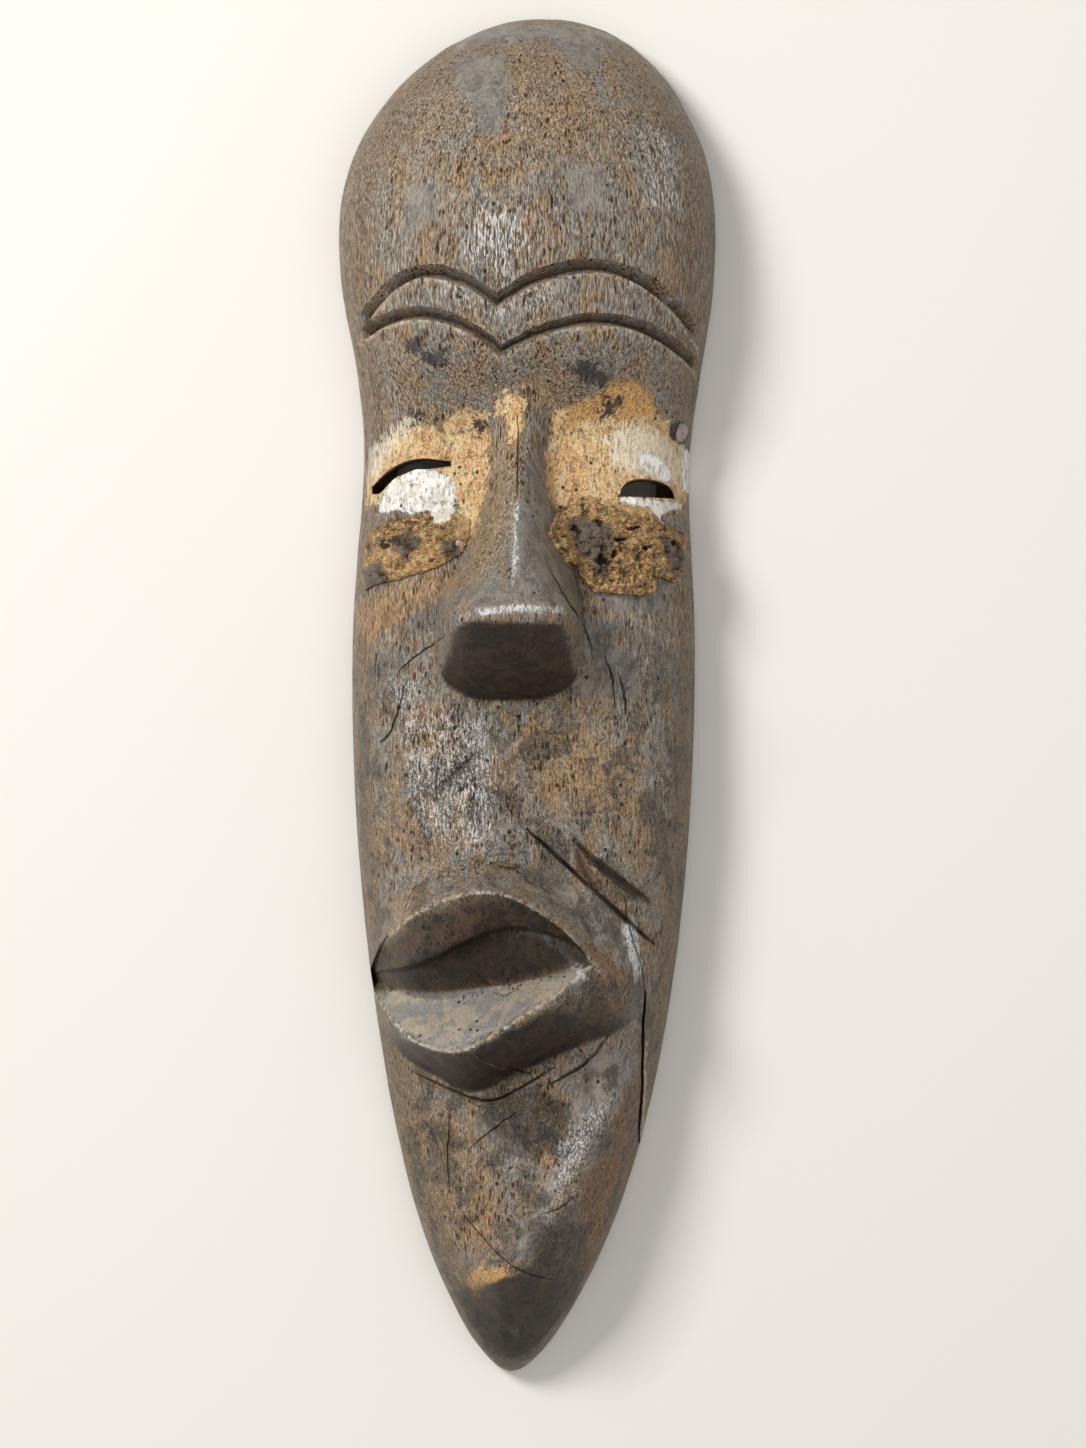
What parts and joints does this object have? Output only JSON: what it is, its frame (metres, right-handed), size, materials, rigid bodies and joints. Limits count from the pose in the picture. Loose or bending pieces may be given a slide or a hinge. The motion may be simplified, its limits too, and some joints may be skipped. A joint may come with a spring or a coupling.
{
  "type": "tribal mask",
  "caption": "Long narrow carved wooden face mask, hollow behind, with slit eyes, a broad nose, a mouth pulled to one side and clay crusts under the eyes.",
  "frame": {"origin": "centre of the bounding box's underside: the middle of the flat back rim's plane", "axes": "the mask lies face up: +X to the right of someone who faces it, +Y to the crown, +Z out of the face"},
  "size_m": [0.1674, 0.6, 0.1079],
  "materials": {
    "carved_wood": "old hardwood, handled smooth on its high places, dark in its pores and rubbed with ochre and white earth round the eyes",
    "clay_crust": "dried and cracked ochre clay, rough and matt",
    "nail_iron": "hammered iron nail head, browned and worn bright on top"
  },
  "bodies": {
    "root": {"mask_body": "carved_wood", "crust_right": "clay_crust", "crust_left": "clay_crust", "nail_right": "nail_iron", "nail_left": "nail_iron"}
  },
  "joints": []
}
